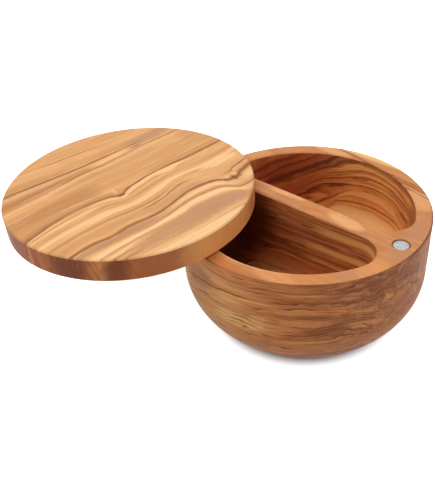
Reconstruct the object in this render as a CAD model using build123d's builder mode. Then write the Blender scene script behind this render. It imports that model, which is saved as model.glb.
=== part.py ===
"""Round wooden salt keeper: a turned two-pocket bowl and a flat lid that swivels on an upright pin.

Origin: centre of the base, on the surface it stands on. +Z is up, and +X runs along the divider,
from the lid's pivot to the rim magnet. Millimetres throughout. The lid stands swung aside.
"""

from build123d import *
from math import cos, radians, sin, tan
import os

# ---- bowl: outside ----------------------------------------------------------------------------
bowl_radius = 60.0
bowl_height = 58.5
upright_wall = 29.5         # how far the outside wall runs straight down before it turns inwards
foot_turn = 76.0            # degrees it has turned by the time it meets the base
rim_edge = 0.8

# ---- bowl: the two pockets and the divider between them ---------------------------------------
rim_width = 7.8             # wall thickness at the rim, round both pockets
floor_thickness = 16.0
divider_width = 9.5
cutter_radius = 12.0        # ball-nosed cutter: leaves the pockets' upright corners and their foot
pocket_edge = 0.6

# ---- lid --------------------------------------------------------------------------------------
lid_thickness = 11.7
lid_top_edge = 0.6
lid_lower_edge = 0.8
lid_open_angle = 105.5      # degrees swung clockwise from closed, seen from above

# ---- magnets: one in the rim, its mate in the lid ---------------------------------------------
magnet_radius = 4.0
magnet_thickness = 3.0
magnet_edge = 0.4
magnet_inset = 7.5          # centre of the magnet, in from the outside of the rim
magnet_recess = 0.4         # how far each magnet sits below the face it is let into

# ---- pivot: dowel glued into the lid, turning in a flanged sleeve in the divider's end --------
pivot_inset = 7.5           # centre of the pivot, in from the outside of the rim
pin_radius = 2.5
pin_in_lid = 8.0
pin_in_bush = 15.0
pin_edge = 0.4
bush_wall = 1.5
bush_length = 17.0          # sleeve below the rim
flange_radius = 6.0
flange_thickness = 1.0

# ---- fits -------------------------------------------------------------------------------------
running_fit = 0.05          # pin to sleeve, on the radius
lid_gap = 0.3               # lid to rim: the flange stands this much above the rim
glue_gap = 0.1              # glued pieces to their holes, on the radius
glue_pocket = 1.0           # spare depth below a glued piece

# ---- places worked out from the sizes above ---------------------------------------------------
foot_rise = bowl_height - upright_wall
base_radius = bowl_radius - foot_rise * tan(radians(foot_turn / 2))
pocket_radius = bowl_radius - rim_width
pocket_depth = bowl_height - floor_thickness
pivot_arm = bowl_radius - pivot_inset
magnet_arm = bowl_radius - magnet_inset
lid_underside = bowl_height + lid_gap
bush_radius = pin_radius + running_fit + bush_wall
magnet_hole_depth = magnet_thickness + magnet_recess

pivot_plane = Plane(origin=(-pivot_arm, 0, bowl_height))
magnet_plane = Plane(origin=(magnet_arm, 0, bowl_height))
# The lid's own plane: its underside, origin on the pivot, x towards the lid's centre.
lid_plane = Plane(
    origin=(-pivot_arm, 0, lid_underside),
    x_dir=(cos(radians(lid_open_angle)), -sin(radians(lid_open_angle)), 0),
    z_dir=(0, 0, 1),
)
lid_magnet_place = (pivot_arm + magnet_arm, 0)


# ---- pocket: the space on the +Y side of the divider, taken out of the bowl twice -------------
with BuildPart() as pocket:
    # D-shaped in plan: the round wall on one side, the divider's face on the other.
    with BuildSketch(Plane.XY.offset(floor_thickness)):
        Circle(pocket_radius)
        with Locations((0, divider_width / 2)):
            Rectangle(2 * pocket_radius, pocket_radius, align=(Align.CENTER, Align.MIN), mode=Mode.INTERSECT)
        corners = vertices().group_by(Axis.Y)[0]
        fillet(corners, radius=cutter_radius)
    extrude(amount=pocket_depth)
    fillet(pocket.faces().sort_by(Axis.Z)[0].edges(), radius=cutter_radius)


# ---- bowl -------------------------------------------------------------------------------------
with BuildPart() as bowl:
    with BuildSketch(Plane.XZ):
        with BuildLine():
            rim = Line((0, bowl_height), (bowl_radius, bowl_height))
            wall = Line(rim @ 1, (bowl_radius, foot_rise))
            shoulder = TangentArc(wall @ 1, (base_radius, 0), tangent=wall % 1)
            base = Line(shoulder @ 1, (0, 0))
            Line(base @ 1, rim @ 0)
        make_face()
    revolve(axis=Axis.Z)
    chamfer(bowl.edges().group_by(Axis.Z)[-1], length=rim_edge)

    add(pocket.part, mode=Mode.SUBTRACT)
    mirror(pocket.part, about=Plane.XZ, mode=Mode.SUBTRACT)
    rim_face = bowl.faces().sort_by(Axis.Z)[-1]
    chamfer([edge for mouth in rim_face.inner_wires() for edge in mouth.edges()], length=pocket_edge)

    with Locations(magnet_plane):
        Hole(magnet_radius + glue_gap, depth=magnet_hole_depth)
    with Locations(pivot_plane):
        CounterBoreHole(
            radius=bush_radius + glue_gap,
            counter_bore_radius=flange_radius + glue_gap,
            counter_bore_depth=flange_thickness - lid_gap,
            depth=bush_length + glue_pocket,
        )
bowl.part.label = "bowl"


# ---- rim magnet -------------------------------------------------------------------------------
with BuildPart() as rim_magnet:
    with BuildSketch(magnet_plane.offset(-magnet_recess)):
        Circle(magnet_radius)
    extrude(amount=-magnet_thickness)
    chamfer(rim_magnet.edges().filter_by(GeomType.CIRCLE), length=magnet_edge)
rim_magnet.part.label = "rim_magnet"


# ---- pivot bush: a sleeve with a thin flange that carries the lid clear of the rim -------------
with BuildPart() as pivot_bush:
    with BuildSketch(pivot_plane.offset(lid_gap)):
        Circle(flange_radius)
    extrude(amount=-flange_thickness)
    with BuildSketch(pivot_plane):
        Circle(bush_radius)
    extrude(amount=-bush_length)
    with Locations(pivot_plane):
        Hole(pin_radius + running_fit)
pivot_bush.part.label = "pivot_bush"


# ---- lid --------------------------------------------------------------------------------------
with BuildPart() as lid:
    with BuildSketch(lid_plane):
        with Locations((pivot_arm, 0)):
            Circle(bowl_radius)
    extrude(amount=lid_thickness)
    chamfer(lid.edges().group_by(Axis.Z)[-1], length=lid_top_edge)
    chamfer(lid.edges().group_by(Axis.Z)[0], length=lid_lower_edge)

    with BuildSketch(lid_plane):
        Circle(pin_radius + glue_gap)
    extrude(amount=pin_in_lid + glue_gap, mode=Mode.SUBTRACT)
    with BuildSketch(lid_plane):
        with Locations(lid_magnet_place):
            Circle(magnet_radius + glue_gap)
    extrude(amount=magnet_hole_depth, mode=Mode.SUBTRACT)
lid.part.label = "lid"


# ---- lid magnet -------------------------------------------------------------------------------
with BuildPart() as lid_magnet:
    with BuildSketch(lid_plane.offset(magnet_recess)):
        with Locations(lid_magnet_place):
            Circle(magnet_radius)
    extrude(amount=magnet_thickness)
    chamfer(lid_magnet.edges().filter_by(GeomType.CIRCLE), length=magnet_edge)
lid_magnet.part.label = "lid_magnet"


# ---- pivot pin --------------------------------------------------------------------------------
with BuildPart() as pivot_pin:
    with BuildSketch(lid_plane.offset(pin_in_lid)):
        Circle(pin_radius)
    extrude(amount=-(pin_in_lid + lid_gap + pin_in_bush))
    chamfer(pivot_pin.edges().filter_by(GeomType.CIRCLE), length=pin_edge)
pivot_pin.part.label = "pivot_pin"


os.makedirs("parts", exist_ok=True)
for piece in (bowl, rim_magnet, pivot_bush, lid, lid_magnet, pivot_pin):
    export_step(piece.part, f"parts/{piece.part.label}.step")
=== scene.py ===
import bpy
from math import cos, radians, sin
from mathutils import Matrix, Vector


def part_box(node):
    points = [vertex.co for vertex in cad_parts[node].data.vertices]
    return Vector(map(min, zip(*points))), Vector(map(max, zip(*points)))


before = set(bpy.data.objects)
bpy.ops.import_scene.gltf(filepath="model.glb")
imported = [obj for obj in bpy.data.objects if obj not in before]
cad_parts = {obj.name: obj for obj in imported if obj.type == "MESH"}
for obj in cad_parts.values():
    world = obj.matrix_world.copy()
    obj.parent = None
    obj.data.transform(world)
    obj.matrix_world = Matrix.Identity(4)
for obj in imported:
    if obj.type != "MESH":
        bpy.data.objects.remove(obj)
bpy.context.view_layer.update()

# Dresses the salt keeper's solids. The frame is the part's own: origin at the centre of the base,
# +Z up, +X along the divider from the lid's pivot to the rim magnet. Blender counts in metres, and
# the materials count in millimetres and degrees.
MM = 0.001                               # metres in a millimetre
IMAGE_WIDTH, IMAGE_HEIGHT = 435, 495     # pixels


# ---- the pieces' places, read off the frame ---------------------------------------------------
def middle(name):
    low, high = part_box(name)
    return (Vector(low) + Vector(high)) / 2


RIM_WIDTH = 7.8                          # wall thickness at the rim, round both pockets
HALF_DIVIDER = 4.75
bowl_top_corner = Vector(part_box("bowl")[1])
rim_height = bowl_top_corner.z / MM
pocket_radius = bowl_top_corner.x / MM - RIM_WIDTH
lid_centre = middle("lid")
lid_top = Vector(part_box("lid")[1]).z


# ---- a material's nodes, written as sums ------------------------------------------------------
class Value:
    """One output socket that takes +, -, * and / with numbers or other values."""

    def __init__(self, graph, socket):
        self.graph, self.socket = graph, socket

    def __add__(self, other):
        return self.graph.math("ADD", self, other)

    def __radd__(self, other):
        return self.graph.math("ADD", other, self)

    def __sub__(self, other):
        return self.graph.math("SUBTRACT", self, other)

    def __rsub__(self, other):
        return self.graph.math("SUBTRACT", other, self)

    def __mul__(self, other):
        return self.graph.math("MULTIPLY", self, other)

    def __rmul__(self, other):
        return self.graph.math("MULTIPLY", other, self)

    def __truediv__(self, other):
        return self.graph.math("DIVIDE", self, other)

    def clamped(self):
        return self.graph.math("ADD", self, 0, clamp=True)


class Graph:
    """The nodes of a material or of the world, under construction."""

    def __init__(self, owner):
        self.owner = owner
        owner.use_nodes = True
        self.tree = owner.node_tree
        self.tree.nodes.clear()

    def node(self, kind, **settings):
        made = self.tree.nodes.new(kind)
        for key, setting in settings.items():
            setattr(made, key, setting)
        return made

    def feed(self, socket, source):
        if isinstance(source, Value):
            self.tree.links.new(source.socket, socket)
        elif isinstance(source, (tuple, list)) and len(source) == 3 and socket.type == "RGBA":
            socket.default_value = (*source, 1)
        else:
            socket.default_value = source

    def math(self, operation, *sources, clamp=False):
        made = self.node("ShaderNodeMath", operation=operation, use_clamp=clamp)
        for socket, source in zip(made.inputs, sources):
            self.feed(socket, source)
        return Value(self, made.outputs[0])

    def position(self):
        """x, y and z in millimetres, in the row frame at rest; they move with the piece."""
        place = self.node("ShaderNodeTexCoord").outputs["Object"]
        parts = self.node("ShaderNodeSeparateXYZ")
        self.tree.links.new(place, parts.inputs[0])
        return [Value(self, axis) / MM for axis in parts.outputs]

    def facing(self):
        """The surface's own direction as x, y and z."""
        place = self.node("ShaderNodeTexCoord").outputs["Normal"]
        parts = self.node("ShaderNodeSeparateXYZ")
        self.tree.links.new(place, parts.inputs[0])
        return [Value(self, axis) for axis in parts.outputs]

    def vector(self, x=0.0, y=0.0, z=0.0):
        made = self.node("ShaderNodeCombineXYZ")
        for socket, source in zip(made.inputs, (x, y, z)):
            self.feed(socket, source)
        return Value(self, made.outputs[0])

    def noise(self, where, detail=2.0, roughness=0.5, seed=0.0):
        """Smooth noise about zero, from -1 to 1 at the most."""
        made = self.node("ShaderNodeTexNoise", noise_dimensions="4D")
        self.feed(made.inputs["Vector"], where)
        made.inputs["W"].default_value = seed
        made.inputs["Scale"].default_value = 1.0
        made.inputs["Detail"].default_value = detail
        made.inputs["Roughness"].default_value = roughness
        return (Value(self, made.outputs[0]) - 0.5) * 2

    def rise(self, source, low, high, top=1.0):
        """0 at low and top at high, smooth between; low may lie above high."""
        made = self.node("ShaderNodeMapRange", interpolation_type="SMOOTHSTEP")
        self.feed(made.inputs["Value"], source)
        self.feed(made.inputs["From Min"], low)
        self.feed(made.inputs["From Max"], high)
        made.inputs["To Max"].default_value = top
        return Value(self, made.outputs[0])

    def near(self, source, centre, half_width, top=1.0, flat=0.25):
        """top close to centre, falling smoothly to 0 half_width away.

        flat is the share of the half width that stays at top.
        """
        away = self.math("ABSOLUTE", source - centre)
        return self.rise(away, half_width, half_width * flat, top)

    def between(self, source, start, end, fade):
        """1 from start to end and 0 beyond, each end faded over twice fade."""
        away = self.math("ABSOLUTE", source - (start + end) / 2)
        half = (end - start) / 2
        return self.rise(away, half + fade, half - fade)

    def curve(self, source, points):
        """A smooth line through (x, y) points, read at source."""
        first, last = points[0][0], points[-1][0]
        low = min(y for _, y in points) - 1
        high = max(y for _, y in points) + 1
        made = self.node("ShaderNodeFloatCurve")
        line = made.mapping.curves[0]
        places = [((x - first) / (last - first), (y - low) / (high - low)) for x, y in points]
        line.points[0].location, line.points[1].location = places[0], places[-1]
        for place in places[1:-1]:
            line.points.new(*place)
        made.mapping.update()
        self.feed(made.inputs["Value"], (source - first) / (last - first))
        return Value(self, made.outputs[0]) * (high - low) + low

    def mix(self, below, above, amount):
        made = self.node("ShaderNodeMix", data_type="RGBA")
        self.feed(made.inputs[0], amount)
        self.feed(made.inputs[6], below)
        self.feed(made.inputs[7], above)
        return Value(self, made.outputs[2])

    def finish(self, colour, roughness, specular, metallic=0.0):
        shader = self.node("ShaderNodeBsdfPrincipled")
        self.feed(shader.inputs["Base Color"], colour)
        self.feed(shader.inputs["Roughness"], roughness)
        self.feed(shader.inputs["Metallic"], metallic)
        shader.inputs["Specular IOR Level"].default_value = specular
        out = self.node("ShaderNodeOutputMaterial")
        self.tree.links.new(shader.outputs[0], out.inputs["Surface"])
        return self.owner


def tone(red, green, blue):
    """A colour given as it looks on a screen, 0 to 255, as the numbers that light works in."""
    levels = (red / 255, green / 255, blue / 255)
    return tuple(v / 12.92 if v <= 0.04045 else ((v + 0.055) / 1.055) ** 2.4 for v in levels)


# ---- olive wood -------------------------------------------------------------------------------
# Cycles keeps every value that waits for a later one in a small store, and draws the whole material
# black when that is full. The bowl comes near it. So each set of streaks reads a place that the last
# noise before it has moved: then its masks are worked out one by one, as the colours need them.
WOOD_ROUGHNESS = 0.5
WOOD_SPECULAR = 0.08                     # low, so that no haze lies over the grain
STREAK_FADE = 6.0                        # how softly a streak starts and ends

LID_TONES = {
    "cream": tone(252, 203, 150),
    "honey": tone(232, 174, 117),
    "tan": tone(214, 157, 102),
    "brown": tone(196, 137, 88),
    "umber": tone(164, 110, 70),
    "mauve": tone(186, 134, 98),
    "smoke": tone(194, 144, 106),
    "blush": tone(226, 170, 124),
    "glow": tone(244, 172, 102),
    "dark": tone(120, 74, 44),
    "edge": tone(222, 132, 72),
    "sienna": tone(168, 94, 58),
    "end": tone(126, 70, 50),
}


def levels(graph, across, along, guides):
    """A field that holds one value along each guide line and runs evenly between neighbours.

    Each guide is (value, points), where points are (along, across); guides come in falling order.
    """
    value, points = guides[0]
    upper = graph.curve(along, points)
    field = value
    for lower_value, points in guides[1:]:
        lower = graph.curve(along, points)
        share = ((upper - across) / (upper - lower)).clamped()
        field = share * (lower_value - value) + field
        value, upper = lower_value, lower
    return field


def paint_streaks(graph, colour, tones, level, along, streaks):
    """Each streak is (tone, level, half width, strength), then start and end where it has them."""
    for name, centre, half_width, strength, *ends in streaks:
        mask = graph.near(level, centre, half_width, strength)
        if ends:
            mask = mask * graph.between(along, *ends, STREAK_FADE)
        colour = graph.mix(colour, tones[name], mask)
    return colour


def paint_spots(graph, colour, tones, along, across, spots):
    """Each oval is (tone, along, across, half length, half width, strength), then any slope."""
    for name, centre, side_centre, length, width, strength, *slope in spots:
        off = (along - centre) / length
        side = (across - side_centre) / width
        if slope:
            side = side - off * (slope[0] * length / width)
        mask = graph.rise(off * off + side * side, 1.1, 0.3, strength)
        colour = graph.mix(colour, tones[name], mask)
    return colour


# The lid's grain: its lines as the board shows them from above, in millimetres along the grain
# and across it from the lid's centre.
LID_GRAIN_ANGLE = 84.0
LID_GUIDES = [
    (60, [(-62, 60), (0, 60), (62, 60)]),
    (42, [(-62, 42), (-20, 42.5), (0, 41.5), (25, 42), (62, 42)]),
    (32, [(-62, 33), (-30, 32), (-12, 31), (0, 31.5), (20, 32.5), (62, 35)]),
    (25, [(-62, 18.5), (-45, 20), (-30, 21.5), (-20, 23.3), (-10, 24.4), (0, 24.3), (10, 25),
          (20, 26.5), (62, 29)]),
    (11, [(-62, 8), (-30, 10), (0, 11), (30, 12), (62, 14)]),
    (2, [(-62, -2), (-40, 2), (-9, 1), (10, 3), (62, 6)]),
    (-2, [(-62, -10), (-50, -6), (-40, -3.4), (-30, -2.5), (-22, -2.6), (-16, -3.4), (-12, -5.2),
          (-9, -6.8), (-6, -5), (-2, -3), (5, -1.6), (12, -0.3), (22, 0.4), (34, 0.2), (62, 2)]),
    (-10, [(-62, -14), (-45, -10.3), (-30, -9), (-22, -8.6), (-15, -10), (-8, -11.6), (0, -10),
           (10, -8), (20, -7), (40, -8), (62, -5)]),
    (-20, [(-62, -25), (-45, -20.6), (-30, -19.6), (-15, -20.5), (-5, -21), (5, -19.6), (12, -17),
           (20, -15.5), (34, -16), (50, -15), (62, -12)]),
    (-30, [(-62, -33), (-50, -31.8), (-40, -30.5), (-30, -31.5), (-20, -30.4), (-8, -31.2),
           (2, -29.8), (10, -27.8), (18, -26.6), (26, -27), (32, -29.4), (38, -33), (44, -30.5),
           (52, -28.2), (62, -26)]),
    (-36, [(-62, -39), (-35, -37), (-15, -37), (-5, -36), (5, -34), (15, -33), (25, -34),
           (31, -37.5), (38, -41.5), (45, -40), (62, -36)]),
    (-41, [(-62, -44), (-40, -43), (-25, -41.6), (-10, -41.3), (0, -41), (10, -39.7), (20, -40),
           (28, -41.5), (33, -44), (38, -47), (62, -46)]),
    (-51, [(-62, -52), (0, -51.5), (20, -51), (35, -53), (62, -55)]),
    (-62, [(-62, -62), (0, -62), (62, -62)]),
]
LID_STREAKS = [
    ("tan", 51, 7, 0.7),
    ("umber", 45.6, 0.9, 0.7, -22, 8),
    ("tan", 36, 4.4, 1.0),
    ("brown", 35, 3.0, 0.5, -80, -15),
    ("smoke", 33.8, 4.4, 1.0, 22, 80),
    ("umber", 32, 1.3, 0.9, -55, 32),
    ("dark", 32.2, 0.6, 0.5, -40, 26),
    ("blush", 30, 1.1, 0.9, -80, -12),
    ("cream", 28.6, 1.9, 0.5, -7, 20),
    ("smoke", 29.4, 1.6, 0.8, 20, 48),
    ("brown", 27.2, 3.2, 1.0, -80, -4),
    ("umber", 27.4, 1.0, 0.5, -60, -20),
    ("umber", 25.6, 0.9, 0.9, -22, 80),
    ("cream", 22.8, 1.6, 0.3),
    ("tan", 10, 11, 0.9),
    ("brown", 7, 10, 0.9, -80, -14),
    ("mauve", 20, 3.4, 0.4, -30, 30),
    ("umber", 11.6, 0.6, 0.4, -60, -34),
    ("brown", 0.6, 2.2, 0.6, 14, 80),
    ("brown", -0.8, 2.0, 0.8, -80, -6),
    ("umber", -2, 1.5, 0.9),
    ("dark", -2, 0.6, 0.5),
    ("cream", -4.2, 1.8, 1.0, -22, 32),
    ("cream", -4.2, 0.8, 0.8, -56, -36),
    ("brown", -5.6, 0.7, 0.8, -60, -30),
    ("brown", -6.9, 0.7, 0.7, -4, 30),
    ("cream", -8, 1.3, 0.8, -80, -22),
    ("brown", -10.6, 1.2, 0.7, -26, 80),
    ("brown", -12.4, 0.7, 0.6, -56, -10),
    ("brown", -13.4, 0.8, 0.6, 14, 80),
    ("cream", -15.4, 3.0, 0.75),
    ("brown", -17.8, 0.7, 0.6, -24, 10),
    ("brown", -18.4, 0.7, 0.6, 22, 52),
    ("brown", -20, 1.2, 0.9, -60, 8),
    ("tan", -24.6, 4.0, 0.9, -80, -2),
    ("smoke", -26.6, 3.8, 0.5, -9, 25),
    ("umber", -22.6, 0.9, 0.8, -8, 22),
    ("umber", -26.4, 0.8, 0.9, 39, 80),
    ("umber", -30, 1.6, 0.9, -54, 80),
    ("dark", -30, 0.7, 0.5, -54, 80),
    ("smoke", -33, 2.2, 1.0, -80, -8),
    ("cream", -33, 1.6, 0.8, 2, 34),
    ("brown", -34.6, 0.6, 0.7, -40, 20),
    ("umber", -36, 0.9, 0.8, -18, 46),
    ("cream", -38.0, 2.4, 1.0, -80, 36),
    ("brown", -39.6, 0.6, 0.6, -44, -8),
    ("cream", -33, 1.8, 0.8, 42, 80),
    ("brown", -41.2, 0.7, 0.7, -14, 40),
    ("cream", -42, 1.6, 0.8, -48, -20),
    ("umber", -44.2, 0.7, 0.7, -50, -28),
    ("umber", -47.4, 0.7, 0.7, -42, -26),
    ("cream", -58, 8, 1.0),
]
LID_SPOTS = [
    ("dark", -9, -6.3, 2.0, 0.9, 0.7),
    ("cream", -9.6, -1.4, 1.1, 3.4, 0.35),
    ("brown", -7.6, 0.4, 0.7, 3.4, 0.4),
    ("cream", -13, -6.6, 2.6, 1.2, 0.4),
    ("cream", 20, -3.2, 8, 1.5, 0.9),
    ("dark", 38.4, -33.0, 0.8, 3.2, 0.8),
    ("cream", 36.3, -30.0, 1.5, 1.8, 0.5),
    ("cream", 40.7, -30.2, 1.4, 1.6, 0.5),
    ("tan", 54, 18, 10, 14, 0.8),
    ("cream", 44, -15, 14, 4, 0.8),
    ("umber", 24, 29.5, 4, 1.4, 0.5),
]
LID_CLOUDS = [                           # soft grey heartwood, placed by level and not across
    ("smoke", 8, -45.4, 44, 6.0, 0.8),
    ("smoke", 14, -45.0, 24, 4.4, 0.5),
    ("smoke", 46, 34.5, 30, 4.4, 0.6),
    ("smoke", -30, -33.4, 22, 2.2, 0.5),
]


def lid_wood():
    """The lid's board, drawn from the photo line by line, with finer grain and fibre over it."""
    graph = Graph(bpy.data.materials.new("lid_olive_wood"))
    x, y, z = graph.position()
    turn = radians(LID_GRAIN_ANGLE)
    dx = x - lid_centre.x / MM
    dy = y - lid_centre.y / MM
    depth = lid_top / MM - z
    along = dx * cos(turn) + dy * sin(turn)
    across = dy * cos(turn) - dx * sin(turn) + depth * 0.25

    level = levels(graph, across, along, LID_GUIDES)
    waver = graph.noise(graph.vector(along / 13, across / 3.6, depth / 6), detail=2, seed=1.0)
    rough = graph.noise(graph.vector(along / 4.5, across / 1.4, depth / 3), detail=1, seed=7.0)
    level = level + waver * 0.6 + rough * 0.3

    streak = graph.noise(graph.vector(along / 40, level / 1.7, depth / 9), detail=2, seed=2.0)
    fibre = graph.noise(graph.vector(along / 26, level / 0.7, depth / 2), detail=2, roughness=0.6, seed=3.0)
    patches = graph.noise(graph.vector(along / 16, level / 2.6, depth / 6), detail=1, seed=5.0)

    plain = graph.mix(LID_TONES["honey"], LID_TONES["tan"], graph.rise(patches, -0.4, 0.5, 0.7))
    colour = paint_streaks(graph, plain, LID_TONES, level, along, LID_STREAKS)
    colour = paint_spots(graph, colour, LID_TONES, along, across, LID_SPOTS)
    colour = graph.mix(colour, LID_TONES["brown"], graph.rise(streak, 0.05, 0.5, 0.6))
    colour = graph.mix(colour, LID_TONES["cream"], graph.rise(streak, -0.05, -0.5, 0.45))
    mottle = graph.noise(graph.vector(along / 2.2, across / 1.5, depth / 2), detail=2, seed=8.0)
    colour = paint_spots(graph, colour, LID_TONES, along + mottle * 6, level + mottle * 2.4, LID_CLOUDS)
    colour = graph.mix(colour, LID_TONES["umber"], graph.rise(fibre, 0.1, 0.6, 0.45))
    colour = graph.mix(colour, LID_TONES["cream"], graph.rise(fibre, -0.1, -0.6, 0.4))
    return lid_edge(graph, colour, (dx, dy, depth), graph.facing(), across, along)


# Round the lid's turned edge, by the angle from +X: the tones of the lines that come out there.
EDGE_STREAKS = [
    ("sienna", -92, 26, 0.9),
    ("end", -97, 8, 0.6),
    ("blush", -86.0, 1.6, 0.4),
    ("edge", -79, 2.4, 0.3),
    ("end", -66, 14, 0.9),
    ("edge", -54.4, 1.6, 0.3),
    ("end", -45, 8, 0.9),
    ("sienna", -29, 19, 0.7),
    ("glow", 4, 28, 1.0),
]


def lid_edge(graph, colour, place, facing, across, along):
    """Deepens the turned edge, where the fibre comes out at the ends most of all, and finishes."""
    dx, dy, depth = place
    nx, ny, nz = facing
    turn = radians(LID_GRAIN_ANGLE)
    side = graph.rise(graph.math("ABSOLUTE", nz), 0.8, 0.3)
    ends = graph.rise(graph.math("ABSOLUTE", nx * cos(turn) + ny * sin(turn)), 0.35, 0.95)
    rings = graph.noise(graph.vector(across / 1.6, along / 12, depth / 22), detail=2, seed=4.0)
    sway = graph.noise(graph.vector(dx / 7, dy / 7, depth / 4), detail=1, seed=6.0) * 3
    angle = graph.math("DEGREES", graph.math("ARCTAN2", dy, dx)) + sway + depth * 0.12
    deeper = graph.mix(colour, LID_TONES["edge"], 0.75)
    deeper = graph.mix(deeper, LID_TONES["end"], ends * graph.rise(rings, -0.1, 0.4, 0.7))
    for name, centre, half_width, strength in EDGE_STREAKS:
        deeper = graph.mix(deeper, LID_TONES[name], graph.near(angle, centre, half_width, strength))
    lines = graph.noise(graph.vector(angle / 0.9, depth / 16), detail=2, seed=9.0)
    deeper = graph.mix(deeper, LID_TONES["end"], graph.rise(lines, 0.0, 0.6, 0.5) * ends)
    deeper = graph.mix(deeper, LID_TONES["edge"], graph.rise(lines, 0.0, -0.6, 0.5))
    colour = graph.mix(colour, deeper, side)
    return graph.finish(colour, WOOD_ROUGHNESS, WOOD_SPECULAR)


# The bowl's tones are deeper than the lid's.
BOWL_TONES = {
    "cream": tone(250, 202, 134),
    "gold": tone(248, 182, 108),
    "copper": tone(224, 144, 84),
    "tan": tone(228, 154, 98),
    "clay": tone(200, 138, 90),
    "brown": tone(192, 116, 64),
    "russet": tone(186, 96, 58),
    "umber": tone(158, 92, 58),
    "mauve": tone(182, 116, 82),
    "rose": tone(199, 138, 99),
    "straw": tone(240, 178, 121),
    "amber": tone(243, 167, 91),
    "plum": tone(150, 84, 60),
    "dark": tone(126, 72, 46),
    # a dark tone for a line near the back pocket's lip, and for the lid's shadow painted into the front
    # pocket
    "heart": tone(104, 56, 38),
}


RING_WIDTH = 2.4                         # millimetres from one growth ring to the next


def grain(graph, colour, tones, level, along, depth, seed, strength, light="gold"):
    """Growth rings, each dark at its start and paler to its end, clear here and faint there.

    Fine fibre lies over them. light names the tone of the paler wood.
    """
    broad = graph.noise(graph.vector(along / 32, level / 3.2, depth / 22), detail=2, seed=seed)
    clear = graph.noise(graph.vector(along / 24, level / 3.6, depth / 18), detail=1, seed=seed + 3)
    fine = graph.vector(along / 18, level / 0.8, depth / 12)
    fine = graph.noise(fine, detail=2.5, roughness=0.6, seed=seed + 7)
    ring = graph.math("FRACT", level / RING_WIDTH + broad * 1.8)
    clear = graph.rise(clear, -0.35, 0.25)
    colour = graph.mix(colour, tones[light], graph.rise(ring, 0.35, 0.95, 0.5 * strength) * clear)
    colour = graph.mix(colour, tones["dark"], graph.rise(ring, 0.35, 0.02, 0.8 * strength) * clear)
    colour = graph.mix(colour, tones["dark"], graph.rise(fine, 0.08, 0.5, 0.7 * strength))
    return graph.mix(colour, tones[light], graph.rise(fine, -0.05, -0.5, 0.6 * strength))


# Round the bowl's outside: angle from +X in degrees along, height in millimetres across.
OUTSIDE_GUIDES = [
    (58, [(-180, 58), (0, 58), (60, 58)]),
    (51, [(-180, 40), (-120, 45), (-110, 48), (-100, 50), (-90, 50.5), (-60, 51), (-40, 51.5),
          (-30, 50), (-20, 48), (-10, 47), (20, 45), (60, 44)]),
    (47.5, [(-180, 34), (-120, 38), (-112, 41), (-105, 43.5), (-98, 45), (-90, 46), (-80, 46.8),
            (-70, 47.5), (-50, 47.5), (-42, 46.5), (-35, 45.5), (-28, 44.5), (-22, 43), (-15, 41),
            (0, 39), (60, 36)]),
    (41, [(-180, 28), (-120, 33), (-110, 36), (-100, 38.5), (-90, 40), (-80, 41), (-60, 41),
          (-50, 40.6), (-42, 40), (-35, 38.8), (-28, 38), (-22, 36.5), (-12, 34), (0, 32),
          (60, 30)]),
    (34.6, [(-180, 22), (-120, 28), (-110, 30.5), (-100, 32.5), (-90, 34), (-80, 34.8), (-70, 35),
            (-60, 34.6), (-50, 34.6), (-42, 35), (-36, 35.8), (-30, 35.6), (-25, 34), (-21, 31),
            (-15, 29.5), (0, 28), (60, 26)]),
    (30, [(-180, 17), (-120, 24), (-110, 26), (-100, 27.5), (-90, 28.5), (-80, 29), (-70, 29.2),
          (-60, 30), (-50, 30.4), (-40, 31.2), (-32, 31.8), (-27, 30.6), (-22, 28.4), (-10, 26),
          (0, 25), (60, 22)]),
    (25, [(-180, 12), (-120, 20), (-100, 22.5), (-90, 23.5), (-75, 24.5), (-60, 25), (-45, 26),
          (-35, 26.5), (-20, 23.5), (0, 21), (60, 18)]),
    (0, [(-180, 0), (0, 0), (60, 0)]),
]
OUTSIDE_STREAKS = [
    ("copper", 56, 4, 0.6, -110, -44),
    ("dark", 56.6, 0.6, 0.5, -70, 0),
    ("umber", 54.0, 0.7, 0.7, -95, -20),
    ("plum", 52.5, 4.5, 0.7, -40, 6),
    ("gold", 52.0, 1.2, 0.7, -60, -46),
    ("gold", 49.6, 0.9, 0.9, -100, -78),
    ("dark", 48.2, 1.1, 0.8, -56, -36),
    ("umber", 46.8, 0.8, 1.0, -118, -76),
    ("gold", 45.4, 0.9, 0.8, -104, -62),
    ("copper", 44.2, 1.8, 0.9, -60, -24),
    ("umber", 45.8, 0.6, 0.8, -62, -46),
    ("gold", 42.6, 1.5, 0.6, -96, -82),
    ("dark", 41.0, 0.9, 0.6, -66, -20),
    ("gold", 39.4, 0.9, 0.7, -102, -84),
    ("copper", 38, 1.8, 0.9, -64, -42),
    ("dark", 37.6, 1.3, 0.7, -41, -20),
    ("umber", 36.4, 0.6, 0.9, -94, -70),
    ("dark", 34.9, 0.8, 0.8, -64, -22),
    ("gold", 32.6, 2.6, 0.8, -110, -66),
    ("tan", 37.0, 1.6, 0.7, -120, -80),
    ("umber", 33.2, 0.5, 0.6, -100, -84),
    ("copper", 32.6, 0.8, 0.8, -64, -52),
    ("dark", 30.2, 0.9, 0.9, -68, -26),
    ("dark", 27.8, 0.7, 0.7, -68, -50),
    ("gold", 25.4, 0.8, 0.6, -64, -40),
]
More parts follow.
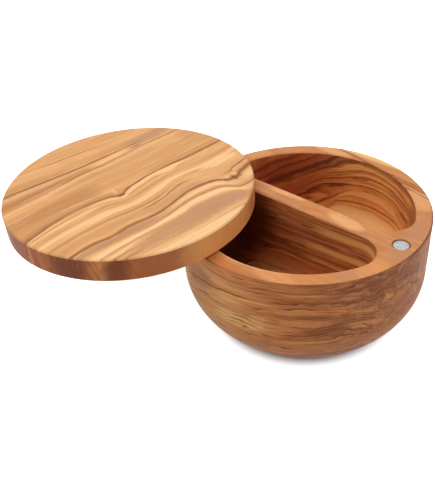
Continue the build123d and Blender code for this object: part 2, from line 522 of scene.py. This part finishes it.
OUTSIDE_SPOTS = [
    ("plum", -56, 47.4, 7, 1.5, 0.6),
    ("dark", -44, 32.2, 12, 2.4, 0.7),
    ("dark", -22, 45.6, 5, 1.8, 0.5),
    ("tan", -31, 42.4, 14, 2.6, 0.6, -0.35),
    ("umber", -33, 44.6, 12, 0.7, 0.7, -0.35),
    ("umber", -28, 38.6, 12, 0.7, 0.7, -0.3),
    ("tan", -39, 46.2, 9, 1.3, 0.6, -0.2),
    ("tan", -52, 36.4, 13, 1.8, 0.6),
    ("tan", -27, 32.4, 10, 2.6, 1.0, -0.2),
    ("dark", -27, 29.6, 9, 0.8, 0.6, -0.25),
    ("tan", -18.5, 31.2, 2.6, 2.0, 0.6),
    ("umber", -16.4, 42.6, 5, 5.6, 0.7),
    ("tan", -16.4, 42.6, 3.0, 3.4, 1.0),
    ("tan", -70, 32, 15, 5.5, 0.6, 0.05),
    ("cream", -82, 32.0, 16, 5.0, 0.6, 0.05),
    ("tan", -60, 43.4, 8, 2.2, 0.5),
    # a dark patch below the lid: partly the wood's own tone, partly the lid's painted shadow
    ("umber", -106, 44, 13, 7, 0.42, 0.15),
    ("plum", -30, 55, 24, 3.0, 0.7),
    ("umber", -42, 29.8, 20, 1.8, 0.6),
    ("plum", -13, 46, 4, 1.6, 0.5),
    # painted shade low on the bowl, near the foot
    ("dark", -36, 9, 30, 9, 1.0),
    ("clay", 3, 54, 8, 3.0, 0.5),
    ("clay", -7.5, 46.4, 6, 2.0, 0.6, -0.1),
    ("clay", -9, 40, 4, 2.4, 0.5),
    ("clay", -14, 35.6, 4, 2.2, 0.5),
    ("clay", 6, 40, 5, 3.4, 0.5),
    ("rose", 1, 44, 4, 2.4, 0.5),
    ("rose", -1, 19, 9, 5, 0.6),
    ("cream", -71, 37.2, 6, 1.4, 0.4, 0.1),
    ("cream", -88, 41.6, 9, 1.6, 0.3, 0.05),
]
SEEN_FROM, SEEN_TO = -152, 52            # degrees of the outside that follow the photo


def bowl_outside(graph, x, y, z, layers, angle):
    """The photo's own lines on the side that it shows, and the same wood's layers round the rest."""
    seen = graph.between(angle, SEEN_FROM, SEEN_TO, 10)
    drawn = levels(graph, z, angle, OUTSIDE_GUIDES)
    waver = graph.noise(graph.vector(x / 9, y / 9, z / 3), detail=2, seed=21.0)
    level = layers + (drawn - layers) * seen + waver * 0.9
    curl = graph.noise(graph.vector(x / 6.5, y / 6.5, z / 4.5), detail=1.5, seed=22.0)
    magnet_end = graph.rise(angle, 46, 8)
    ends = graph.rise(x, 48, 58, 4.0) * magnet_end + graph.rise(x, -52, -60, 2.0)
    level = level + curl * (ends + 0.4)

    plain = graph.mix(BOWL_TONES["brown"], BOWL_TONES["straw"], graph.between(angle, -142, -82, 24))
    plain = graph.mix(plain, BOWL_TONES["mauve"], graph.rise(x, 34, 56))
    plain = graph.mix(plain, BOWL_TONES["clay"], graph.rise(z, 30, 20, 0.6))
    # Darker towards the foot: painted shade under the bowl's curve.
    plain = graph.mix(plain, BOWL_TONES["umber"], graph.rise(z, 22, 10, 0.9))
    plain = graph.mix(plain, BOWL_TONES["dark"], graph.rise(z, 14, 5, 0.45))

    # Out of the photo's sight, each streak comes and goes where wander brings its angles round.
    drift = graph.noise(graph.vector(x / 3.4, y / 3.4, z / 1.6), detail=3, roughness=0.6, seed=24.0)
    wander = graph.noise(graph.vector(x / 50, y / 50, z / 16), detail=1, seed=27.0) * 110 - 58
    along = wander + (angle - wander) * seen
    colour = paint_streaks(graph, plain, BOWL_TONES, level, along, OUTSIDE_STREAKS)
    drawn = paint_spots(graph, colour, BOWL_TONES, angle + drift * 5, z + drift * 1.8, OUTSIDE_SPOTS)
    colour = graph.mix(colour, drawn, seen)

    grained = grain(graph, colour, BOWL_TONES, level, x, y, 23.0, 1.35, light="copper")
    fainter = graph.between(angle, -150, -90, 20) * 0.35
    colour = graph.mix(colour, grained, seen * 0.5 + 0.5 - fainter)
    blotch = graph.noise(graph.vector(x / 6.2, y / 6.2, level / 3.8), detail=1.5, seed=26.0)
    burl = graph.rise(x, 34, 50) * magnet_end
    colour = graph.mix(colour, BOWL_TONES["tan"], graph.rise(blotch, 0.1, 0.35, 0.35) * burl)
    return graph.mix(colour, BOWL_TONES["dark"], graph.near(blotch, 0.06, 0.08, 0.3) * burl)


# The back pocket's round wall: the angle from +X along, minus the depth below the rim across.
BACK_GUIDES = [
    (10, [(-10, 12), (90, 12), (110, 8), (130, 2), (150, -3), (190, -8)]),
    (0, [(-10, 2), (90, 2), (98, 1), (105, -1), (112, -4.5), (120, -8.4), (130, -11.6), (150, -17),
         (190, -24)]),
    (-4, [(-10, -6), (30, -6), (50, -6.2), (60, -5), (75, -4), (85, -4), (95, -5.6), (105, -9),
          (115, -13), (125, -17), (150, -24), (190, -32)]),
    (-8.5, [(-10, -11), (30, -11), (45, -10), (60, -8.8), (75, -8.2), (85, -8.8), (95, -10.8),
            (105, -14), (115, -17.2), (125, -21), (150, -29), (190, -38)]),
    (-14, [(-10, -19), (30, -15), (42, -14.4), (50, -17), (55, -17), (62, -14.6), (75, -14),
           (90, -15.5), (105, -18), (115, -20.4), (125, -24), (130, -27), (150, -34), (190, -42)]),
    (-18, [(-10, -25), (30, -22), (50, -23), (58, -21.5), (66, -19), (75, -18), (85, -17.8),
           (95, -19), (103, -23), (108, -27), (115, -31), (130, -36), (150, -42), (190, -50)]),
    (-26, [(-10, -31), (40, -27), (55, -26), (75, -26), (90, -27), (105, -29), (112, -34),
           (125, -40), (150, -48), (190, -56)]),
    (-44, [(-10, -48), (75, -44), (105, -46), (125, -56), (150, -64), (190, -70)]),
    (-74, [(-10, -74), (75, -70), (105, -72), (190, -96)]),
]
BACK_STREAKS = [
    ("russet", 5, 9, 0.9, 100, 200),
    ("russet", -9, 5, 0.3, 84, 200),
    ("dark", 0.2, 1.4, 1.0, 98, 200),
    ("dark", 4, 0.9, 0.8, 118, 200),
    ("heart", 7.5, 1.4, 0.6, 128, 200),
    ("umber", -1.8, 1.4, 0.7, 30, 130),
    ("dark", -1.8, 0.6, 0.7, 50, 120),
    ("gold", -3.8, 1.2, 0.9, 64, 104),
    ("umber", -5.4, 0.6, 0.8, 50, 130),
    ("brown", -6.6, 1.6, 0.6, 20, 100),
    ("gold", -7.4, 1.1, 0.9, 62, 98),
    ("dark", -9.0, 0.8, 0.7, 44, 130),
    ("umber", -10.4, 2.0, 0.5, 20, 70),
    ("umber", -11.6, 0.5, 0.6, 56, 92),
    ("dark", -14.2, 1.3, 0.95, 98, 200),
    ("dark", -14.2, 0.7, 0.5, 36, 112),
    ("gold", -12.8, 1.0, 0.8, 66, 100),
    ("umber", -15.6, 1.2, 0.3, 30, 122),
    ("cream", -20.5, 2.6, 0.7, 60, 106),
    ("umber", -22.6, 0.6, 0.5, 62, 104),
    ("dark", -18.4, 0.7, 0.8, 100, 130),
    ("umber", -26, 0.9, 0.8, 50, 112),
    ("cream", -33, 6.5, 1.0, 50, 110),
    ("brown", -29.0, 0.7, 0.6, 56, 100),
]
BACK_SPOTS = [
    ("umber", 30, -9, 20, 9, 0.6),
    ("umber", 66, -1, 38, 3.2, 0.6),
    ("umber", 52, -17, 7, 1.6, 0.8),
    ("umber", 36, -14, 5, 5, 0.4),
    ("russet", 116, -26.4, 9, 3.6, 0.6),
    ("gold", 117, -27.4, 7, 2.2, 0.7),
    ("dark", 141, -15.5, 10, 4, 0.6),
]


def bowl_back(graph, x, y, z, angle, radius):
    """The back pocket: the photo's lines round its wall, and plain layers on its floor."""
    inward = graph.math("MAXIMUM", pocket_radius - radius, 0)
    depth = rim_height - z + inward * 0.45
    waver = graph.noise(graph.vector(x / 9, y / 9, z / 3), detail=2.5, seed=31.0)
    sway = graph.noise(graph.vector(x / 26, y / 26, z / 12), detail=1, seed=32.0)
    level = levels(graph, 0 - depth, angle, BACK_GUIDES)
    level = level + waver * 0.9 + sway * graph.rise(angle, 100, 120, 4.0)
    pale = graph.rise(depth, 24, 34, 0.85) * graph.rise(angle, 112, 98)
    colour = graph.mix(BOWL_TONES["amber"], BOWL_TONES["brown"], graph.rise(angle, 56, 34, 0.8))
    colour = graph.mix(colour, BOWL_TONES["russet"], graph.rise(angle, 98, 130, 0.75))
    colour = graph.mix(colour, BOWL_TONES["cream"], pale)
    colour = grain(graph, colour, BOWL_TONES, level, angle / 1.2, inward / 4, 33.0, 0.95)
    ripple = graph.noise(graph.vector(angle / 8, level / 1.5, inward / 4), detail=1.5, seed=34.0) * 0.2
    colour = paint_streaks(graph, colour, BOWL_TONES, level + ripple, angle + ripple, BACK_STREAKS)
    turned, height = angle + waver * 3 + ripple, waver * 1.5 - depth + ripple
    colour = paint_spots(graph, colour, BOWL_TONES, turned, height, BACK_SPOTS)

    # The pocket's floor lies flat in the layers, so they run across it along +X.
    across = (y - x * 0.16 + z * 0.6) * 0.5 + waver * 1.4
    flat = graph.mix(BOWL_TONES["straw"], BOWL_TONES["brown"], graph.rise(x, 20, -40, 0.9))
    flat = grain(graph, flat, BOWL_TONES, across, x, z, 37.0, 0.55)
    return graph.mix(colour, flat, graph.rise(inward, 8, 15))


# Inside the front pocket and on the divider's faces the layers run along +X, almost level.
FRONT_STREAKS = [
    ("brown", 57.5, 3, 0.6),
    ("umber", 55.0, 0.8, 0.5, 10, 60),
    ("gold", 50.2, 2.6, 1.0, 12, 60),
    ("cream", 50.4, 1.6, 0.3, 14, 60),
    ("copper", 51.0, 1.2, 0.5, -30, 14),
    ("umber", 46.2, 1.1, 0.5),
    ("copper", 44.6, 0.8, 0.6),
    ("umber", 43.2, 0.9, 0.8),
    ("gold", 40.2, 2.5, 1.0, 4, 60),
    ("cream", 40.2, 1.6, 0.6, 10, 60),
    ("copper", 40.2, 1.4, 0.8, -60, 8),
    ("umber", 37.4, 0.8, 0.5),
    ("copper", 36.6, 1.4, 0.5, 8, 40),
    ("umber", 34.8, 1.1, 0.7),
    ("gold", 32.2, 1.3, 0.7, 5, 60),
    ("umber", 30.4, 0.9, 0.7),
    ("gold", 28.8, 0.9, 0.6, -15, 14),
    ("brown", 25, 4, 0.8),
    ("umber", 21.5, 0.8, 0.3),
    ("copper", 19.5, 2.2, 0.6, -34, 10),
]


LID_SHADOW_FROM, LID_SHADOW_TO = -7, -23           # x at which the lid's painted shadow starts, and is at its darkest
LID_SHADOW_SLOPE_DEPTH = 22                   # below this depth its edge runs off towards the pivot


def bowl_front(graph, x, y, z):
    """The front pocket: level lines towards the magnet, and the lid's shadow painted dark towards the
    pivot.
    """
    waver = graph.noise(graph.vector(x / 30, y / 12, z / 5), detail=2, seed=41.0)
    level = z - x * 0.07 - (y + HALF_DIVIDER) * 0.35 + waver * 0.9
    colour = grain(graph, BOWL_TONES["brown"], BOWL_TONES, level, x, y / 3, 43.0, 1.3)
    ripple = graph.noise(graph.vector(x / 10, level / 1.5, y / 6), detail=1.5, seed=42.0) * 0.2
    colour = paint_streaks(graph, colour, BOWL_TONES, level + ripple, x + ripple, FRONT_STREAKS)
    # The lid's shadow is painted in: dark towards the pivot, its edge sloping with depth and broken along
    # the grain.
    lower = graph.math("MAXIMUM", rim_height - LID_SHADOW_SLOPE_DEPTH - z, 0)
    fingers = graph.noise(graph.vector(x / 34, y / 20, level / 2.2), detail=1.5, seed=44.0) * 14
    heart = graph.rise(x + lower * 0.9 + fingers, LID_SHADOW_FROM, LID_SHADOW_TO, 0.82)
    return graph.mix(colour, BOWL_TONES["heart"], heart)


# The rim and the top of the divider, seen from above: x along, y across.
TOP_SPOTS = [
    ("straw", -20, 52, 14, 3.4, 0.7),
    ("cream", 6, 59, 28, 4.4, 0.8),
    ("straw", 42, 38, 12, 12, 0.6),
    ("rose", -41, 36, 12, 6, 0.4),
    ("straw", -50, 26, 8, 8, 0.25),
    ("rose", 55, 14, 8, 14, 1.0),
    ("rose", 56, -6, 6, 8, 0.8),
    ("tan", 52, -22, 8, 10, 0.8),
    ("brown", 12, -58, 36, 3.4, 0.8),
    ("rose", 46, -31, 6, 6, 0.6),
    ("tan", 22, -50, 14, 5, 0.8),
    ("rose", -24, 0.0, 7, 4.4, 0.6),
    ("straw", -12, 2.4, 11, 2.2, 0.8),
    ("rose", -8, -2.4, 12, 2.0, 0.6),
    ("brown", 5, -1.6, 6, 2.0, 0.6, 0.1),
    ("straw", 24, 0.2, 12, 4.2, 0.9, -0.12),
    ("brown", 9, -0.3, 6, 1.2, 0.5, -0.05),
    ("rose", 7, 2.6, 7, 1.4, 0.6),
    ("brown", 45, 8, 5, 4, 0.3),
    ("brown", 45, -8, 5, 4, 0.4),
]
TOP_STREAKS = [
    ("dark", 53.0, 0.8, 0.7, -28, 50),
    ("umber", 51.2, 1.6, 0.8, 4, 52),
    ("umber", 48.6, 0.8, 0.7, 20, 52),
]


def bowl_top(graph, x, y):
    """The rim and the divider's top: soft patches, three lines at the back, and fibre along +X."""
    waver = graph.noise(graph.vector(x / 24, y / 6), detail=2, seed=51.0)
    line = y + x * 0.2 + waver * 0.9
    cloud = graph.noise(graph.vector(x / 22, y / 9), detail=2, seed=53.0)
    fibre = graph.noise(graph.vector(x / 16, (y + waver) / 1.2), detail=2, seed=52.0)
    on_divider = graph.near(y, 0.0, 9.0, 0.4, flat=0.6) + 0.32
    colour = graph.mix(BOWL_TONES["clay"], BOWL_TONES["copper"], graph.rise(cloud, 0.3, -0.4, 0.6))
    colour = graph.mix(colour, BOWL_TONES["brown"], graph.rise(cloud, 0.0, 0.5, 0.5))
    colour = paint_spots(graph, colour, BOWL_TONES, x + waver * 3, y + waver * 1.2, TOP_SPOTS)
    colour = paint_streaks(graph, colour, BOWL_TONES, line, x, TOP_STREAKS)
    colour = graph.mix(colour, BOWL_TONES["brown"], graph.rise(fibre, 0.0, 0.6) * on_divider)
    return graph.mix(colour, BOWL_TONES["straw"], graph.rise(fibre, 0.0, -0.6) * on_divider)


def bowl_wood():
    """One block: its outside, its pockets and its rim are each drawn apart, and joined at the edges."""
    graph = Graph(bpy.data.materials.new("bowl_olive_wood"))
    x, y, z = graph.position()
    radius = graph.math("SQRT", x * x + y * y)
    angle = graph.math("DEGREES", graph.math("ARCTAN2", y, x))
    broad = graph.noise(graph.vector(x / 60, y / 30, z / 30), detail=1, seed=11.0)
    layers = z - x * 0.11 + graph.math("MAXIMUM", y - 30, 0) * 0.35 + broad * 4

    # Where each kind of surface is: the pockets, the rim's top, and a painted highlight on the rim in front
    # of the front pocket.
    inside = (1 - graph.rise(radius, 54, 56)) * graph.rise(z, 14, 15)
    back = graph.rise(y, 5.4, 9.0)
    outer = graph.rise(radius, 56, 58)
    top = graph.rise(z - outer * 0.62, rim_height - 0.85, rim_height - 0.65)
    painted_lip_highlight = graph.near(radius, pocket_radius + 0.7, 0.8, 0.4) * top * graph.rise(y, -20, -32)
    painted_lip_highlight = painted_lip_highlight * graph.rise(x, 34, 6)

    front_wood = bowl_front(graph, x, y, z)
    back_wood = bowl_back(graph, x, y, z, angle, radius)
    pocket = graph.mix(front_wood, back_wood, back)
    colour = graph.mix(bowl_outside(graph, x, y, z, layers, angle), pocket, inside)
    # The rim's outer chamfer is painted darker: painted shade that takes away the light it catches.
    painted_chamfer_shade = outer * graph.rise(z, rim_height - 1.0, rim_height - 0.7, 0.6)
    colour = graph.mix(colour, BOWL_TONES["dark"], painted_chamfer_shade)
    colour = graph.mix(colour, bowl_top(graph, x, y), top)
    # painted highlight along the front rim's inner edge
    colour = graph.mix(colour, BOWL_TONES["cream"], painted_lip_highlight)
    return graph.finish(colour, WOOD_ROUGHNESS, WOOD_SPECULAR)


# ---- metal ------------------------------------------------------------------------------------
MAGNET_FACE_RADIUS = 3.1                 # outside it a ring of painted shade stands for the shadow at the magnet's rounded edge in its hole


def nickel(name, centre):
    """Dull plating, mottled by handling, with a ring of painted shade round its bright face."""
    graph = Graph(bpy.data.materials.new(name))
    x, y, z = graph.position()
    off_x, off_y = x - centre.x / MM, y - centre.y / MM
    off = graph.math("SQRT", off_x * off_x + off_y * off_y)
    ring = graph.rise(off, MAGNET_FACE_RADIUS - 0.1, MAGNET_FACE_RADIUS + 0.7)
    mottle = graph.noise(graph.vector(x / 1.1, y / 1.1, z), detail=2, seed=61.0)
    colour = graph.mix(tone(192, 192, 189), tone(140, 141, 139), graph.rise(mottle, -0.1, 0.5))
    # painted shade round the face, for the rounded edge and the gap in the hole
    colour = graph.mix(colour, tone(108, 88, 70), ring)
    return graph.finish(colour, roughness=0.55, specular=0.5, metallic=0.3)


def plain_metal(name, colour):
    graph = Graph(bpy.data.materials.new(name))
    return graph.finish(colour, roughness=0.35, specular=0.4, metallic=1.0)


# ---- camera -----------------------------------------------------------------------------------
# Its place and framing, in degrees, metres and pixels.
AZIMUTH, ELEVATION, ROLL = 43.94, 35.48, -3.54
DISTANCE = 0.2889
AIM = Vector((-0.0103, -0.0363, 0.0585))  # the point on the rim's plane that the axis meets
FOCAL_PIXELS = 634.3
AXIS_PIXEL = (237.5, 231.5)


def make_camera():
    a, e, r = radians(AZIMUTH), radians(ELEVATION), radians(ROLL)
    forward = Vector((-sin(a) * cos(e), cos(a) * cos(e), -sin(e)))
    level = Vector((cos(a), sin(a), 0))
    up = level.cross(forward)
    image_right = level * cos(r) + up * sin(r)
    image_up = up * cos(r) - level * sin(r)
    data = bpy.data.cameras.new("camera")
    data.sensor_fit = "AUTO"
    data.sensor_width = 36.0
    data.lens = FOCAL_PIXELS * data.sensor_width / IMAGE_HEIGHT
    data.shift_x = (IMAGE_WIDTH / 2 - AXIS_PIXEL[0]) / IMAGE_HEIGHT
    data.shift_y = (AXIS_PIXEL[1] - IMAGE_HEIGHT / 2) / IMAGE_HEIGHT
    data.clip_start = 0.01
    camera = bpy.data.objects.new("camera", data)
    turn = Matrix((image_right, image_up, -forward)).transposed()
    camera.matrix_world = Matrix.Translation(AIM - forward * DISTANCE) @ turn.to_4x4()
    bpy.context.scene.collection.objects.link(camera)
    bpy.context.scene.camera = camera


# ---- floor and light --------------------------------------------------------------------------
FLOOR_HALF = 3.0                         # metres
FLOOR_SEEN = 0.85                        # its whiteness to the eye
FLOOR_BOUNCE = 0.5                       # its whiteness to the light that it throws up at the bowl
FLOOR_GLOW = 0.95                        # white added away from the bowl's foot
GLOW_START, GLOW_END = 43.0, 51.5        # millimetres from the bowl's axis
WORLD_STRENGTH = 0.14
LAMPS = [                                # right, away and up from the base in metres, size, watts
    ("overhead", -0.25, 0.10, 0.95, 0.8, 8.3),
    ("right", 0.95, -0.08, 0.42, 0.5, 2.2),
    ("left", -0.95, -0.25, 0.40, 0.5, 1.3),
    ("front", -0.05, -1.0, 0.11, 0.25, 1.6),
]


def backdrop_rays(graph):
    """1 for the rays that show the backdrop: the camera's own, and those off metal or through glass."""
    paths = graph.node("ShaderNodeLightPath")
    wanted = ("Is Camera Ray", "Is Glossy Ray", "Is Transmission Ray")
    camera, glossy, transmission = (Value(graph, paths.outputs[name]) for name in wanted)
    return (camera + glossy + transmission).clamped()


def make_floor():
    """White to the camera, and less so to the light; it keeps the object's shadow."""
    mesh = bpy.data.meshes.new("floor")
    s = FLOOR_HALF
    mesh.from_pydata([(-s, -s, 0), (s, -s, 0), (s, s, 0), (-s, s, 0)], [], [(0, 1, 2, 3)])
    floor = bpy.data.objects.new("floor", mesh)
    bpy.context.scene.collection.objects.link(floor)
    graph = Graph(bpy.data.materials.new("floor_white"))
    x, y, _ = graph.position()
    away = graph.math("SQRT", x * x + y * y)
    glow = graph.rise(away, GLOW_START, GLOW_END, FLOOR_GLOW)
    seen = backdrop_rays(graph)
    diffuse = graph.node("ShaderNodeBsdfDiffuse")
    graph.feed(diffuse.inputs["Color"], seen * (FLOOR_SEEN - FLOOR_BOUNCE) + FLOOR_BOUNCE)
    emission = graph.node("ShaderNodeEmission")
    graph.feed(emission.inputs["Strength"], glow * seen)
    both = graph.node("ShaderNodeAddShader")
    out = graph.node("ShaderNodeOutputMaterial")
    graph.tree.links.new(diffuse.outputs[0], both.inputs[0])
    graph.tree.links.new(emission.outputs[0], both.inputs[1])
    graph.tree.links.new(both.outputs[0], out.inputs["Surface"])
    mesh.materials.append(graph.owner)


def make_world(strength):
    """White wherever it is looked at; as a light it has the strength given."""
    world = bpy.data.worlds.new("studio")
    bpy.context.scene.world = world
    graph = Graph(world)
    background = graph.node("ShaderNodeBackground")
    background.inputs["Color"].default_value = (1, 1, 1, 1)
    graph.feed(background.inputs["Strength"], backdrop_rays(graph) * (1 - strength) + strength)
    out = graph.node("ShaderNodeOutputWorld")
    graph.tree.links.new(background.outputs[0], out.inputs["Surface"])


def from_view(right, away, up):
    """A place given as the camera sees it: metres to the right, away and up."""
    a = radians(AZIMUTH)
    return Vector((cos(a) * right - sin(a) * away, sin(a) * right + cos(a) * away, up))


def make_lamp(name, place, size, power):
    data = bpy.data.lights.new(name, "AREA")
    data.shape = "SQUARE"
    data.size = size
    data.energy = power
    lamp = bpy.data.objects.new(name, data)
    lamp.location = place
    lamp.rotation_euler = (-place).to_track_quat("-Z", "Y").to_euler()
    bpy.context.scene.collection.objects.link(lamp)


make_camera()
make_floor()
make_world(WORLD_STRENGTH)
for lamp_name, right, away, up, size, power in LAMPS:
    make_lamp(lamp_name, from_view(right, away, up), size, power)
bpy.context.scene.view_settings.view_transform = "Standard"

finishes = {
    "bowl": bowl_wood(),
    "lid": lid_wood(),
    "rim_magnet": nickel("rim_magnet_nickel", middle("rim_magnet")),
    "lid_magnet": nickel("lid_magnet_nickel", middle("lid_magnet")),
    "pivot_bush": plain_metal("brass", (0.72, 0.58, 0.33)),
    "pivot_pin": plain_metal("steel", (0.62, 0.62, 0.62)),
}
for name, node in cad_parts.items():
    if not node.material_slots:
        node.data.materials.append(None)
    for material_slot in node.material_slots:
        material_slot.material = finishes[name]
